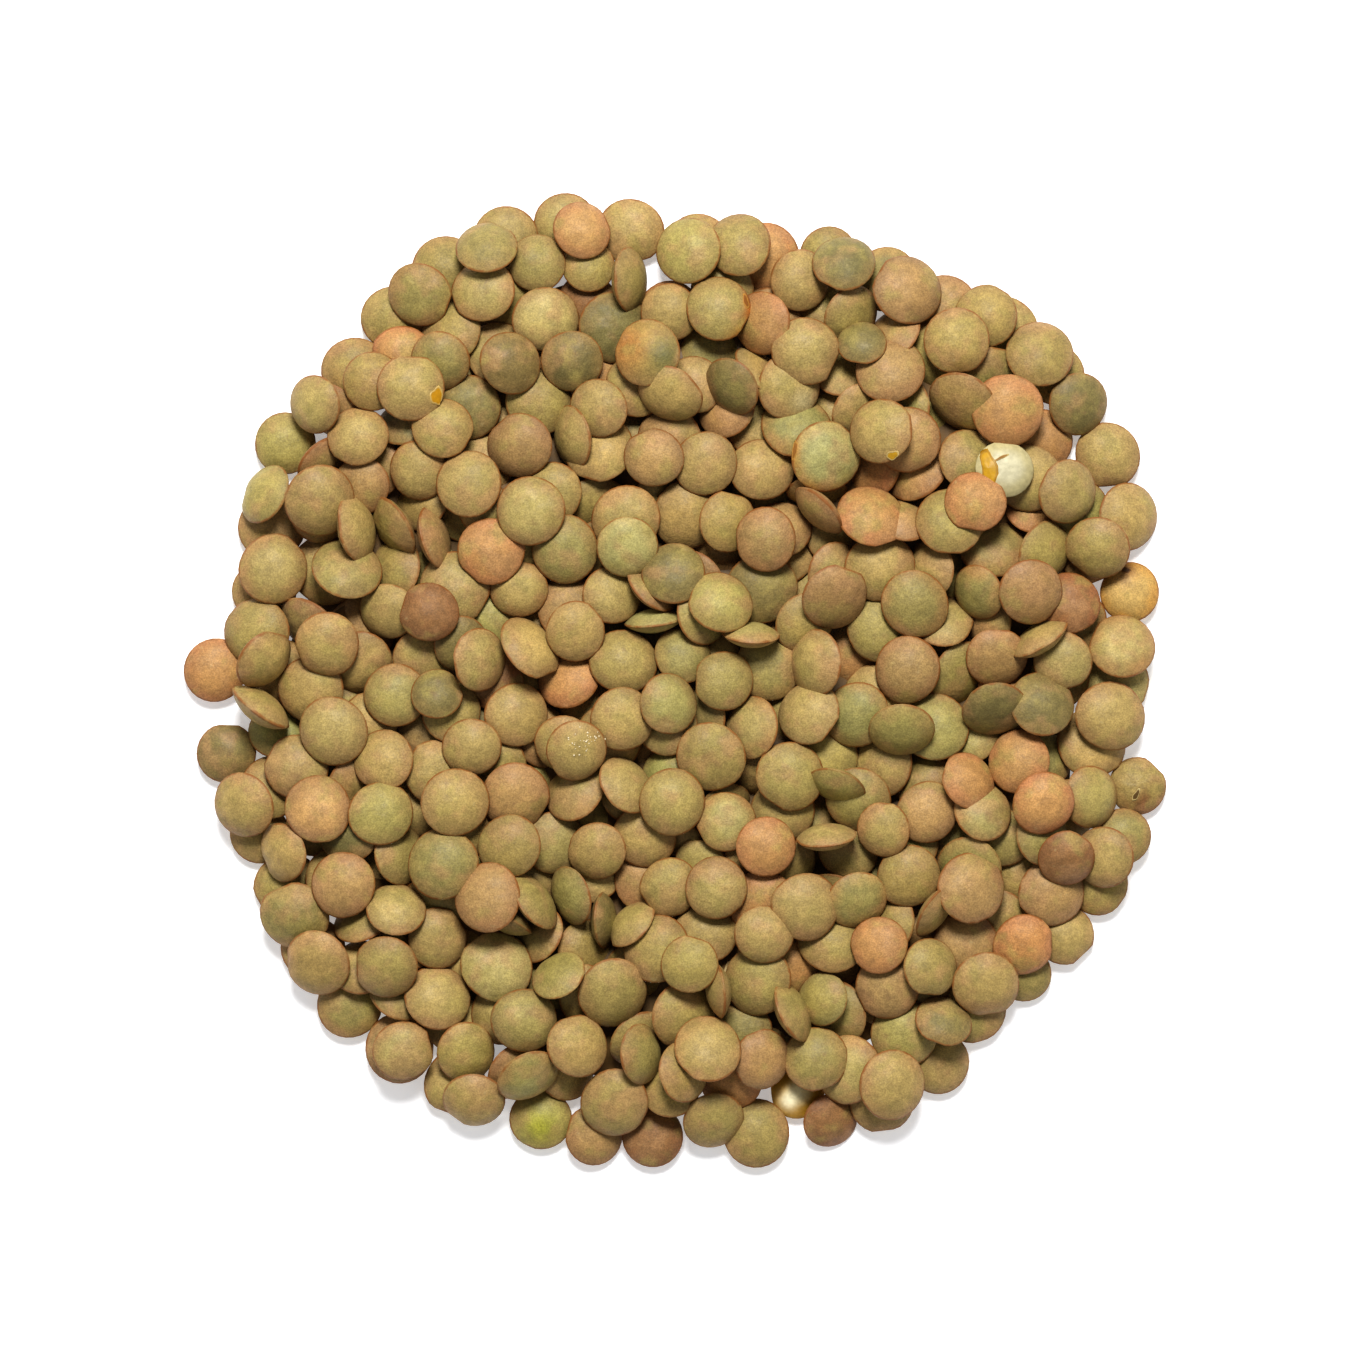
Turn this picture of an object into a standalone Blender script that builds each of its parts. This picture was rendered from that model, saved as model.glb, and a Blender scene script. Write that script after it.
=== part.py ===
"""Low round heap of dry lentils, poured out on a flat surface.

The heap stands on z = 0 with its middle at the origin. Lentils are laid down one
after another, each where it comes to lie on those below it. The solid is a core
with the lentils that show most fused on. Sizes are in millimetres until the meshes
are made.
"""
import math

import bmesh
import bpy
import numpy as np
from mathutils import Matrix, Vector
from mathutils.bvhtree import BVHTree

# Driving dimensions, in millimetres
MM = 0.001
LENTIL_COUNT = 475
LENTIL_RADIUS = 3.2
RADIUS_SPREAD = 0.2
RADIUS_LIMITS = (2.6, 3.6)
THICKNESS_RANGE = (0.38, 0.46)
# The heap's outline, as its distance from the middle every 15 degrees from +x
OUTLINE_RADII = (
    48.7, 51.1, 52.4, 52.2, 48.6, 47.6, 47.4, 50.3, 50.5, 48.6, 48.7, 45.4,
    49.0, 47.8, 47.5, 49.7, 49.1, 49.4, 49.0, 49.6, 50.0, 48.2, 50.0, 50.2,
)
EDGE_HEIGHT = 4.4
MIDDLE_HEIGHT = 6.0
# Laying rule
SEED = 21
SITES_TRIED = 80
STEEP_SHARE = 0.15
FRICTION = 0.12
BOOKED_FLAT = 3.0
BOOKED_STEEP = 4.0
CLEAR_SHARE = 0.75
CLEAR_HEIGHT = 6.0
STEEP_TILT = 45
STEEP_HOLD = 0.08
WEDGE = 3.0
LOOSE = 2.2
PRESS = 0.7
CELL = 0.25
HALF_FIELD = 60.0
SIDE = int(2 * HALF_FIELD / CELL)

# Lentils at the heap's foot that have their own place.
# Each row: x, y, diameter, tilt in degrees, direction its top leans to in degrees.
FOOT_LENTILS = (
    (-38.8, 23.9, 6.2, 0, 0),
    (43.6, 22.7, 6.6, 0, 0),
    (-45.8, 1.2, 6.4, 0, 0),
    (-44.7, -7.1, 6.0, 18, 180),
    (46.6, -10.4, 5.8, 32, 20),
    (45.8, 9.0, 6.0, 18, 0),
    (-13.2, -43.8, 6.2, 0, 0),
    (-7.9, -45.4, 6.0, 0, 0),
    (-2.0, -45.5, 6.2, 0, 0),
    (12.5, -41.1, 5.4, 0, 0),
    (15.5, -43.9, 5.7, 18, 300),
    (8.4, -45.2, 6.8, 0, 0),
)
# Lentils that lie on top of the others, in the same terms.
TOP_LENTILS = (
    (14.3, -37.8, 6.5, 11, 100),
    (3.7, -43.6, 6.2, 11, 270),
    (11.3, 29.2, 6.6, 18, 300),
    (33.1, 21.2, 5.8, 26, 0),
    (30.6, 17.9, 6.2, 26, 90),
    (20.8, -25.8, 5.8, 26, 90),
    (-26.3, 29.3, 6.8, 14, 200),
    (2.0, 42.9, 6.8, 14, 90),
    (-2.2, 32.5, 6.9, 11, 200),
    (13.0, 33.3, 6.9, 18, 100),
    (4.6, 36.8, 6.6, 18, 60),
    (15.1, 22.1, 7.2, 20, 300),
    (21.2, 24.8, 6.7, 11, 200),
    (33.1, 27.4, 7.3, 11, 100),
    (19.8, 16.1, 7.0, 28, 90),
    (22.2, 31.1, 7.0, 37, 80),
    (-4.3, 13.7, 6.2, 11, 0),
    (4.6, 7.5, 6.6, 14, 100),
    (0.0, 10.7, 6.4, 26, 60),
    (-23.6, -1.6, 5.2, 0, 0),
    (-9.6, -6.5, 6.2, 0, 0),
    (16.0, -10.1, 6.0, 70, 250),
    (36.4, -2.2, 6.7, 23, 100),
    (39.3, -17.1, 5.8, 18, 300),
    (29.5, -10.3, 6.0, 35, 0),
    (-18.4, -21.9, 7.0, 14, 200),
    (-29.3, -12.9, 6.5, 11, 90),
    (13.3, -22.4, 6.8, 18, 270),
    (14.4, 1.5, 6.8, 47, 180),
    (-31.9, 15.7, 7.0, 70, 10),
    (-27.8, 15.1, 6.8, 67, 215),
    (-23.8, 14.2, 6.5, 80, 15),
    (-4.6, 39.9, 6.8, 72, 0),
    (-10.0, 24.5, 6.5, 62, 185),
    (5.5, 29.5, 6.2, 47, 215),
    (18.6, 33.5, 5.0, 41, 120),
    (-7.3, -23.6, 5.7, 72, 5),
    (-4.1, -24.0, 5.8, 64, 130),
    (36.2, 4.2, 6.5, 76, 125),
    (11.8, -32.6, 6.6, 80, 25),
    (-6.1, -31.1, 7.2, 14, 270),
    (43.3, -3.4, 7.1, 0, 0),
    (29.3, -20.4, 7.1, 0, 0),
    (21.5, -40.0, 7.0, 0, 0),
    (31.3, -29.9, 6.8, 0, 0),
    (-5.6, -41.6, 7.0, 0, 0),
    (-9.8, -36.6, 6.3, 0, 0),
)

# The core and the simple lentils fused to it
CORE_INSET = 3.0
CORE_GRID = 12
CORE_SINK = 0.6
CORE_EDGE = 1.1
RIM_SIDES = 9
RIM_SIDES_HIDDEN = 6
WELL_SEEN = 16.0
LEAST_SEEN = 13.6
LIFT = 0.05
FOOT_CLEAR = 0.3


def outline(angle):
    """Distance of the heap's outline from the middle, in a direction."""
    place = angle / (2 * math.pi) * len(OUTLINE_RADII)
    step = math.floor(place)
    blend = place - step
    blend = blend * blend * (3 - 2 * blend)
    here = OUTLINE_RADII[step % len(OUTLINE_RADII)]
    following = OUTLINE_RADII[(step + 1) % len(OUTLINE_RADII)]
    return here + (following - here) * blend


def polar(distance, angle):
    """A point at a distance and angle, rounded so that it is the same everywhere."""
    return round(distance * math.cos(angle), 4), round(distance * math.sin(angle), 4)


def lens_faces(dx, dy, p, q, radius, half):
    """Lower and upper face of a lens above the points dx, dy, from its middle.

    The lens is what two equal balls share; p and q are the level parts of its axis.
    """
    ball = (radius * radius + half * half) / (2 * half)
    back = ball - half
    rise = back * math.sqrt(1 - p * p - q * q)
    under_a = ball * ball - (dx + back * p) ** 2 - (dy + back * q) ** 2
    under_b = ball * ball - (dx - back * p) ** 2 - (dy - back * q) ** 2
    inside = (under_a > 0) & (under_b > 0)
    reach_a = np.sqrt(np.where(inside, under_a, 0))
    reach_b = np.sqrt(np.where(inside, under_b, 0))
    low = np.maximum(-rise - reach_a, rise - reach_b)
    high = np.minimum(-rise + reach_a, rise + reach_b)
    inside &= low < high
    return low, high, inside


AROUND = ((1, 0), (0.7, 0.7), (0, 1), (-0.7, 0.7), (-1, 0), (-0.7, -0.7), (0, -1), (0.7, -0.7))
MOVES = [(a, b, 0, 0) for a, b in AROUND] + [(0, 0, a, b) for a, b in AROUND]


class Heap:
    """The lentils laid so far, and the height of their top on a fine grid."""

    def __init__(self):
        self.top = np.zeros((SIDE, SIDE))
        self.kept_clear = np.zeros((SIDE, SIDE))
        self.owner = np.full((SIDE, SIDE), -1)
        self.lentils = []

    def window(self, x, y, reach):
        """The grid cells within reach of a point, and how far they are from it."""
        first = int((x - reach + HALF_FIELD) / CELL)
        last = int((x + reach + HALF_FIELD) / CELL) + 2
        low = int((y - reach + HALF_FIELD) / CELL)
        high = int((y + reach + HALF_FIELD) / CELL) + 2
        dx = (np.arange(first, last) + 0.5) * CELL - HALF_FIELD - x
        dy = (np.arange(low, high) + 0.5) * CELL - HALF_FIELD - y
        return (slice(low, high), slice(first, last)), dx[None, :], dy[:, None]

    def rest(self, x, y, p, q, radius, half):
        """Height of a lentil's middle when it just touches what lies below it."""
        cells, dx, dy = self.window(x, y, radius)
        low, _, inside = lens_faces(dx, dy, p, q, radius, half)
        under = np.maximum(self.top[cells], self.kept_clear[cells])
        return float((under - low)[inside].max())

    def settle(self, x, y, p, q, radius, half, travel, hold):
        """Slide and tip a lentil until it can go no lower."""
        z = self.rest(x, y, p, q, radius, half)
        start = (x, y, p, q)
        step = 0.6
        tip = 0.16
        while step > 0.1:
            moved = False
            for a, b, c, d in MOVES:
                to_x, to_y = x + a * step, y + b * step
                to_p, to_q = p + c * tip, q + d * tip
                if math.hypot(to_x - start[0], to_y - start[1]) > travel:
                    continue
                if math.hypot(to_p - start[2], to_q - start[3]) > hold:
                    continue
                if to_p * to_p + to_q * to_q > 0.99:
                    continue
                to_z = self.rest(to_x, to_y, to_p, to_q, radius, half)
                effort = FRICTION * step * math.hypot(a, b)
                effort += 0.04 * tip * math.hypot(c, d) * radius
                if to_z < z - effort - 0.0001:
                    x, y, z, p, q = to_x, to_y, to_z, to_p, to_q
                    moved = True
            if not moved:
                step /= 2
                tip /= 2
        return x, y, z, p, q

    def lay(self, x, y, p, q, radius, half, travel=3.0, hold=2.0, wedge=0.0):
        """Settle a lentil and raise the heap's top where it lies.

        One that would hang over a hollow or over the room kept clear is left out.
        One with its own place is pressed in instead, and wedged in if it stands on edge.
        """
        x, y, z, p, q = self.settle(x, y, p, q, radius, half, travel, hold)
        cells, dx, dy = self.window(x, y, radius)
        low, high, inside = lens_faces(dx, dy, p, q, radius, half)
        gaps = (z + low - self.top[cells])[inside]
        gap = round(float(gaps.mean()), 4)
        if wedge == 0 and (gap > LOOSE or float(gaps.min()) > 0.05):
            return
        if wedge > 0:
            lean = math.hypot(p, q)
            clear = min(z, math.hypot(radius * lean, half * math.sqrt(1 - lean * lean)))
            sink = max(wedge * (2 * lean - 1), PRESS * (gap - LOOSE / 2), 0.0)
            z = max(round(z - sink, 4), clear)
        over = inside & (z + high > self.top[cells])
        self.top[cells] = np.where(over, z + high, self.top[cells])
        self.owner[cells] = np.where(over, len(self.lentils), self.owner[cells])
        self.lentils.append((x, y, z, p, q, radius, half))


def lean_of(tilt, toward):
    """Level parts of the axis of a lentil tilted in a direction, from degrees."""
    return polar(math.sin(math.radians(tilt)), math.radians(toward))


def draw_size(rng):
    """Radius and half thickness of the next lentil."""
    radius = rng.normal(LENTIL_RADIUS, RADIUS_SPREAD)
    radius = min(max(radius, RADIUS_LIMITS[0]), RADIUS_LIMITS[1])
    return radius, radius * rng.uniform(*THICKNESS_RANGE)


def lay_rim(heap, rng):
    """One lentil after another along the outline, between those with their own place."""
    angle = 0.0
    while angle < 2 * math.pi - 0.08:
        radius, half = draw_size(rng)
        out = outline(angle) - radius - abs(rng.normal(0, 0.5))
        x, y = polar(out, angle)
        if min(math.hypot(x - row[0], y - row[1]) for row in FOOT_LENTILS) > 4.6:
            p, q = rng.normal(0, 0.08, 2)
            heap.lay(x, y, p, q, radius, half, travel=1.0)
        angle += (2 * radius + rng.normal(-0.1, 0.4)) / out


def lowest_site(heap, booked, rng):
    """The most sunken of some random places, and how far a lentil may slide from it."""
    best = None
    for _ in range(SITES_TRIED):
        angle = rng.uniform(0, 2 * math.pi)
        distance = math.sqrt(rng.uniform(0, 1)) * (outline(angle) - 3.6)
        x, y = polar(distance, angle)
        share = distance / (outline(angle) - 3.2)
        wanted = EDGE_HEIGHT + (MIDDLE_HEIGHT - EDGE_HEIGHT) * (1 - share ** 2.5)
        cells, _, _ = heap.window(x, y, 1.4)
        lack = float((heap.top[cells] + booked[cells]).mean()) - wanted
        if best is None or lack < best[0]:
            slack = outline(angle) - 2.9 - distance
            best = (lack, x, y, round(min(max(slack, 0.6), 3.0), 4))
    return best[1:]


def lay_heap():
    """All the lentils: the foot, the rim, the filling and those on top."""
    rng = np.random.default_rng(SEED)
    heap = Heap()
    booked = np.zeros_like(heap.top)
    for x, y, diameter, tilt, _ in FOOT_LENTILS + TOP_LENTILS:
        cells, dx, dy = heap.window(x, y, diameter / 2)
        room = round(BOOKED_FLAT + BOOKED_STEEP * math.sin(math.radians(tilt)), 4)
        booked[cells] += np.where(dx * dx + dy * dy < diameter * diameter / 4, room, 0)
    for x, y, diameter, tilt, toward in FOOT_LENTILS:
        heap.lay(x, y, *lean_of(tilt, toward), diameter / 2, diameter * 0.21, travel=0.4)
    for x, y, diameter, _, _ in FOOT_LENTILS:
        cells, dx, dy = heap.window(x, y, diameter / 2)
        column = dx * dx + dy * dy < (CLEAR_SHARE * diameter / 2) ** 2
        heap.kept_clear[cells][column] = CLEAR_HEIGHT
    lay_rim(heap, rng)
    while len(heap.lentils) < LENTIL_COUNT - len(TOP_LENTILS):
        radius, half = draw_size(rng)
        x, y, travel = lowest_site(heap, booked, rng)
        steep = rng.uniform() < STEEP_SHARE
        tilt = rng.uniform(0.8, 0.99) if steep else min(abs(rng.normal(0, 0.25)), 0.8)
        p, q = polar(tilt, rng.uniform(0, 2 * math.pi))
        heap.lay(x, y, p, q, radius, half, travel, hold=0.3 if steep else 2.0)
    heap.kept_clear[:] = 0
    for x, y, diameter, tilt, toward in TOP_LENTILS:
        lean = lean_of(tilt, toward)
        hold = 0.3 if tilt < STEEP_TILT else STEEP_HOLD
        heap.lay(x, y, *lean, diameter / 2, diameter * 0.21, travel=0.5, hold=hold, wedge=WEDGE)
    return heap


def make_object(name, verts, faces, collection):
    """A mesh object with its faces turned outward."""
    mesh = bpy.data.meshes.new(name)
    bm = bmesh.new()
    points = [bm.verts.new(v) for v in verts]
    for face in faces:
        bm.faces.new([points[i] for i in face])
    bmesh.ops.recalc_face_normals(bm, faces=bm.faces)
    bm.to_mesh(mesh)
    bm.free()
    obj = bpy.data.objects.new(name, mesh)
    collection.objects.link(obj)
    return obj


def round_grid(u, v):
    """Direction and share of the radius for a point of a square grid spread on a disc."""
    if abs(u) > abs(v):
        angle = math.pi / 4 * v / u
        return (angle if u > 0 else angle + math.pi), abs(u)
    if v == 0:
        return 0.0, 0.0
    angle = math.pi / 2 - math.pi / 4 * u / v
    return (angle if v > 0 else angle + math.pi), abs(v)


def make_core(heap, collection):
    """Flat-bottomed mound just below the lentils that show."""
    verts = []
    n = CORE_GRID + 1
    for row in range(n):
        for column in range(n):
            angle, share = round_grid(2 * column / CORE_GRID - 1, 2 * row / CORE_GRID - 1)
            distance = share * (outline(angle) - CORE_INSET)
            x, y = polar(distance, angle)
            cells, _, _ = heap.window(x, y, 1.2)
            height = float(heap.top[cells].mean()) - CORE_SINK
            if share > 0.999:
                height = CORE_EDGE
            verts.append((x * MM, y * MM, max(height, CORE_EDGE) * MM))
    faces = []
    for row in range(CORE_GRID):
        for column in range(CORE_GRID):
            a = row * n + column
            faces.append((a, a + 1, a + n + 1))
            faces.append((a, a + n + 1, a + n))
    edge = list(range(n)) + [row * n + n - 1 for row in range(1, n)]
    edge += [n * n - 1 - i for i in range(1, n)] + [row * n for row in range(n - 2, 0, -1)]
    foot = []
    for i in edge:
        foot.append(len(verts))
        verts.append((verts[i][0], verts[i][1], 0.0))
    for k, (i, j) in enumerate(zip(edge, edge[1:] + edge[:1])):
        faces.append((i, foot[k], foot[(k + 1) % len(foot)], j))
    faces.append(tuple(foot))
    return make_object("lentil_heap", verts, faces, collection)


def make_lentil(index, lentil, sides, core_tree, collection):
    """A simple lens: a rim of many sides, three corners above and one below.

    The one below is hidden; it is drawn down far enough to stand in the core.
    """
    x, y, z, p, q, radius, half = lentil
    axis = Vector((p, q, math.sqrt(1 - p * p - q * q)))
    turn = Vector((0, 0, 1)).rotation_difference(axis).to_matrix()
    turn = turn @ Matrix.Rotation(index * 2.4, 3, "Z")
    middle = Vector((x, y, z + LIFT))
    points = []
    for k in range(sides):
        angle = 2 * math.pi * k / sides
        points.append((radius * 1.01 * math.cos(angle), radius * 1.01 * math.sin(angle), 0))
    for k in range(3):
        angle = 2 * math.pi * (k + 0.5) / 3
        corner = 0.42 * radius
        points.append((corner * math.cos(angle), corner * math.sin(angle), 0.9 * half))
    verts = [middle + turn @ Vector(point) for point in points]
    verts.append(foot_point(middle, axis, half, core_tree))
    faces = [(sides, sides + 1, sides + 2)]
    third = sides // 3
    for k in range(sides):
        following = (k + 1) % sides
        faces.append((sides + 3, k, following))
        faces.append((sides + k // third, k, following))
    for k in range(3):
        shared = (k + 1) * third % sides
        faces.append((sides + k, shared, sides + (k + 1) % 3))
    verts = [vert * MM for vert in verts]
    return make_object("lentil_%03d" % index, verts, faces, collection)


def foot_point(middle, axis, half, core_tree):
    """The hidden corner of a lentil: on its own underside or straight down in the core."""
    point = middle - axis * half
    distance = math.hypot(point.x, point.y)
    limit = outline(math.atan2(point.y, point.x)) - CORE_INSET - 0.8
    if distance > limit:
        point.x *= limit / distance
        point.y *= limit / distance
    hit = core_tree.ray_cast(Vector((point.x, point.y, 50.0)), Vector((0, 0, -1)))[0]
    point.z = max(min(point.z, hit.z - 0.4), min(point.z, FOOT_CLEAR))
    return point


def largest_body(mesh):
    """Keep the largest connected body: sealed hollows and loose scraps go."""
    bm = bmesh.new()
    bm.from_mesh(mesh)
    todo = set(bm.faces)
    bodies = []
    while todo:
        body = []
        front = [todo.pop()]
        while front:
            face = front.pop()
            body.append(face)
            for edge in face.edges:
                for other in edge.link_faces:
                    if other in todo:
                        todo.remove(other)
                        front.append(other)
        bodies.append(body)
    bodies.sort(key=len, reverse=True)
    for body in bodies[1:]:
        bmesh.ops.delete(bm, geom=body, context="FACES")
    bm.to_mesh(mesh)
    bm.free()


def skin_material():
    """The dull green and tan skin of dry lentils."""
    material = bpy.data.materials.new("lentil_skin")
    material.use_nodes = True
    shader = material.node_tree.nodes["Principled BSDF"]
    shader.inputs["Base Color"].default_value = (0.36, 0.27, 0.11, 1)
    shader.inputs["Roughness"].default_value = 0.6
    return material


for old in list(bpy.data.objects):
    bpy.data.objects.remove(old, do_unlink=True)

heap_collection = bpy.data.collections.new("heap_of_dry_lentils")
fused_collection = bpy.data.collections.new("lentils_to_fuse")
bpy.context.scene.collection.children.link(heap_collection)
bpy.context.scene.collection.children.link(fused_collection)

laid = lay_heap()
core = make_core(laid, heap_collection)
core.data.materials.append(skin_material())

# Lentils that show from above, the widest in view first
seen = np.bincount(laid.owner[laid.owner >= 0], minlength=len(laid.lentils)) * CELL * CELL
order = [int(i) for i in np.argsort(-seen, kind="stable") if seen[i] > LEAST_SEEN]
core_points = [vert.co / MM for vert in core.data.vertices]
core_tree = BVHTree.FromPolygons(core_points, [face.vertices for face in core.data.polygons])
for number in order:
    sides = RIM_SIDES if seen[number] > WELL_SEEN else RIM_SIDES_HIDDEN
    make_lentil(number, laid.lentils[number], sides, core_tree, fused_collection)

fuse = core.modifiers.new("fuse", "BOOLEAN")
fuse.operation = "UNION"
fuse.operand_type = "COLLECTION"
fuse.collection = fused_collection
fuse.solver = "EXACT"
bpy.context.view_layer.update()
fused = bpy.data.meshes.new_from_object(core.evaluated_get(bpy.context.evaluated_depsgraph_get()))
core.modifiers.clear()
core.data = fused
core.data.name = "lentil_heap"
for old in list(fused_collection.objects):
    bpy.data.objects.remove(old, do_unlink=True)
bpy.data.collections.remove(fused_collection)
largest_body(core.data)
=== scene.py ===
"""Scene of a low round heap of dry lentils on a white table, seen from straight above."""

import math

import bpy
import numpy as np
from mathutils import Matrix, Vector
from mathutils.bvhtree import BVHTree


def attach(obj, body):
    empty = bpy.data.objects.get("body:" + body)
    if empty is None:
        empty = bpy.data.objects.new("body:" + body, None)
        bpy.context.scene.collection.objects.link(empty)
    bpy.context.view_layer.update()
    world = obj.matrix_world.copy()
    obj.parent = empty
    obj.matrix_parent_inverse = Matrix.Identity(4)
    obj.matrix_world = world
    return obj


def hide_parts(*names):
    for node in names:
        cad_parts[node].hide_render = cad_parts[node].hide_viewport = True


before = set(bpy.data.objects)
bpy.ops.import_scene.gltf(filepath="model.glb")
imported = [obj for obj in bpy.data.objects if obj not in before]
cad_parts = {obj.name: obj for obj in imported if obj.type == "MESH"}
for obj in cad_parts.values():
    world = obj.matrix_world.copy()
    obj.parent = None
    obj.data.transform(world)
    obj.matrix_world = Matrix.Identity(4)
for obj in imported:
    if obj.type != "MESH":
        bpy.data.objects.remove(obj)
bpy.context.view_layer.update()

MM = 0.001

# Driving dimensions, in millimetres
LENTIL_COUNT = 475
LENTIL_RADIUS = 3.2
RADIUS_SPREAD = 0.2
RADIUS_LIMITS = (2.6, 3.6)
# Thickness as a share of the diameter
THICKNESS_RANGE = (0.38, 0.46)
# Half of it, as a share of the diameter, for those with their own place
HALF_THICKNESS = 0.21
# The heap's outline, as its distance from the middle every 15 degrees from +x
OUTLINE_RADII = (
    48.7, 51.1, 52.4, 52.2, 48.6, 47.6, 47.4, 50.3, 50.5, 48.6, 48.7, 45.4,
    49.0, 47.8, 47.5, 49.7, 49.1, 49.4, 49.0, 49.6, 50.0, 48.2, 50.0, 50.2,
)
# Height that the filling aims for
EDGE_HEIGHT = 4.4
MIDDLE_HEIGHT = 6.0

# Laying rule. Leans are the level part of a lentil's axis: 0 lies flat, 1 stands on edge.
SEED = 21
SITES_TRIED = 80
SITE_REACH = 1.4
# A lentil slides and tips by these steps, which halve until the slide is below LAST_STEP
FIRST_STEP = 0.6
FIRST_TIP = 0.16
LAST_STEP = 0.1
# Drop that a slide or a tip has to win, and the steepest lean that it may reach
FRICTION = 0.12
TIP_FRICTION = 0.04
LEAST_DROP = 0.0001
STEEPEST_SQUARED = 0.99
# Leans of the filling: a few stand steeply, the others spread round flat
STEEP_SHARE = 0.15
STEEP_LEANS = (0.8, 0.99)
FLAT_SPREAD = 0.25
FLAT_LIMIT = 0.8
# How far a lentil may tip from its first lean
FREE_HOLD = 2.0
FIRM_HOLD = 0.3
STEEP_HOLD = 0.08
STEEP_TILT = 45
# Height kept for those that go on top, flat ones and the extra for one on edge
BOOKED_FLAT = 3.0
BOOKED_STEEP = 4.0
# Share of a foot lentil that the filling leaves in view, and how high that room is
CLEAR_SHARE = 0.75
CLEAR_HEIGHT = 6.0
# How far one with its own place is wedged in on edge, and the share of its gap it is pressed in
WEDGE = 3.0
PRESS = 0.7
# Mean gap below a lentil from which it counts as hanging, and the nearest gap that is touching
LOOSE = 2.2
TOUCHING = 0.05
# Grid of heights
CELL = 0.25
HALF_FIELD = 60.0
SIDE = int(2 * HALF_FIELD / CELL)

# Lentils at the heap's foot that have their own place.
# Each row: x, y, diameter, tilt in degrees, direction its top leans to in degrees.
FOOT_LENTILS = (
    (-38.8, 23.9, 6.2, 0, 0),
    (43.6, 22.7, 6.6, 0, 0),
    (-45.8, 1.2, 6.4, 0, 0),
    (-44.7, -7.1, 6.0, 18, 180),
    (46.6, -10.4, 5.8, 32, 20),
    (45.8, 9.0, 6.0, 18, 0),
    (-13.2, -43.8, 6.2, 0, 0),
    (-7.9, -45.4, 6.0, 0, 0),
    (-2.0, -45.5, 6.2, 0, 0),
    (12.5, -41.1, 5.4, 0, 0),
    (15.5, -43.9, 5.7, 18, 300),
    (8.4, -45.2, 6.8, 0, 0),
)
# Lentils that lie on top of the others, in the same terms.
TOP_LENTILS = (
    (14.3, -37.8, 6.5, 11, 100),
    (3.7, -43.6, 6.2, 11, 270),
    (11.3, 29.2, 6.6, 18, 300),
    (33.1, 21.2, 5.8, 26, 0),
    (30.6, 17.9, 6.2, 26, 90),
    (20.8, -25.8, 5.8, 26, 90),
    (-26.3, 29.3, 6.8, 14, 200),
    (2.0, 42.9, 6.8, 14, 90),
    (-2.2, 32.5, 6.9, 11, 200),
    (13.0, 33.3, 6.9, 18, 100),
    (4.6, 36.8, 6.6, 18, 60),
    (15.1, 22.1, 7.2, 20, 300),
    (21.2, 24.8, 6.7, 11, 200),
    (33.1, 27.4, 7.3, 11, 100),
    (19.8, 16.1, 7.0, 28, 90),
    (22.2, 31.1, 7.0, 37, 80),
    (-4.3, 13.7, 6.2, 11, 0),
    (4.6, 7.5, 6.6, 14, 100),
    (0.0, 10.7, 6.4, 26, 60),
    (-23.6, -1.6, 5.2, 0, 0),
    (-9.6, -6.5, 6.2, 0, 0),
    (16.0, -10.1, 6.0, 70, 250),
    (36.4, -2.2, 6.7, 23, 100),
    (39.3, -17.1, 5.8, 18, 300),
    (29.5, -10.3, 6.0, 35, 0),
    (-18.4, -21.9, 7.0, 14, 200),
    (-29.3, -12.9, 6.5, 11, 90),
    (13.3, -22.4, 6.8, 18, 270),
    (14.4, 1.5, 6.8, 47, 180),
    (-31.9, 15.7, 7.0, 70, 10),
    (-27.8, 15.1, 6.8, 67, 215),
    (-23.8, 14.2, 6.5, 80, 15),
    (-4.6, 39.9, 6.8, 72, 0),
    (-10.0, 24.5, 6.5, 62, 185),
    (5.5, 29.5, 6.2, 47, 215),
    (18.6, 33.5, 5.0, 41, 120),
    (-7.3, -23.6, 5.7, 72, 5),
    (-4.1, -24.0, 5.8, 64, 130),
    (36.2, 4.2, 6.5, 76, 125),
    (11.8, -32.6, 6.6, 80, 25),
    (-6.1, -31.1, 7.2, 14, 270),
    (43.3, -3.4, 7.1, 0, 0),
    (29.3, -20.4, 7.1, 0, 0),
    (21.5, -40.0, 7.0, 0, 0),
    (31.3, -29.9, 6.8, 0, 0),
    (-5.6, -41.6, 7.0, 0, 0),
    (-9.8, -36.6, 6.3, 0, 0),
)


def outline(angle):
    """Distance of the heap's outline from the middle, in a direction."""
    place = angle / (2 * math.pi) * len(OUTLINE_RADII)
    step = math.floor(place)
    blend = place - step
    blend = blend * blend * (3 - 2 * blend)
    here = OUTLINE_RADII[step % len(OUTLINE_RADII)]
    following = OUTLINE_RADII[(step + 1) % len(OUTLINE_RADII)]
    return here + (following - here) * blend


def polar(distance, angle):
    """A point at a distance and angle, rounded so that it is the same everywhere."""
    return round(distance * math.cos(angle), 4), round(distance * math.sin(angle), 4)


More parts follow.
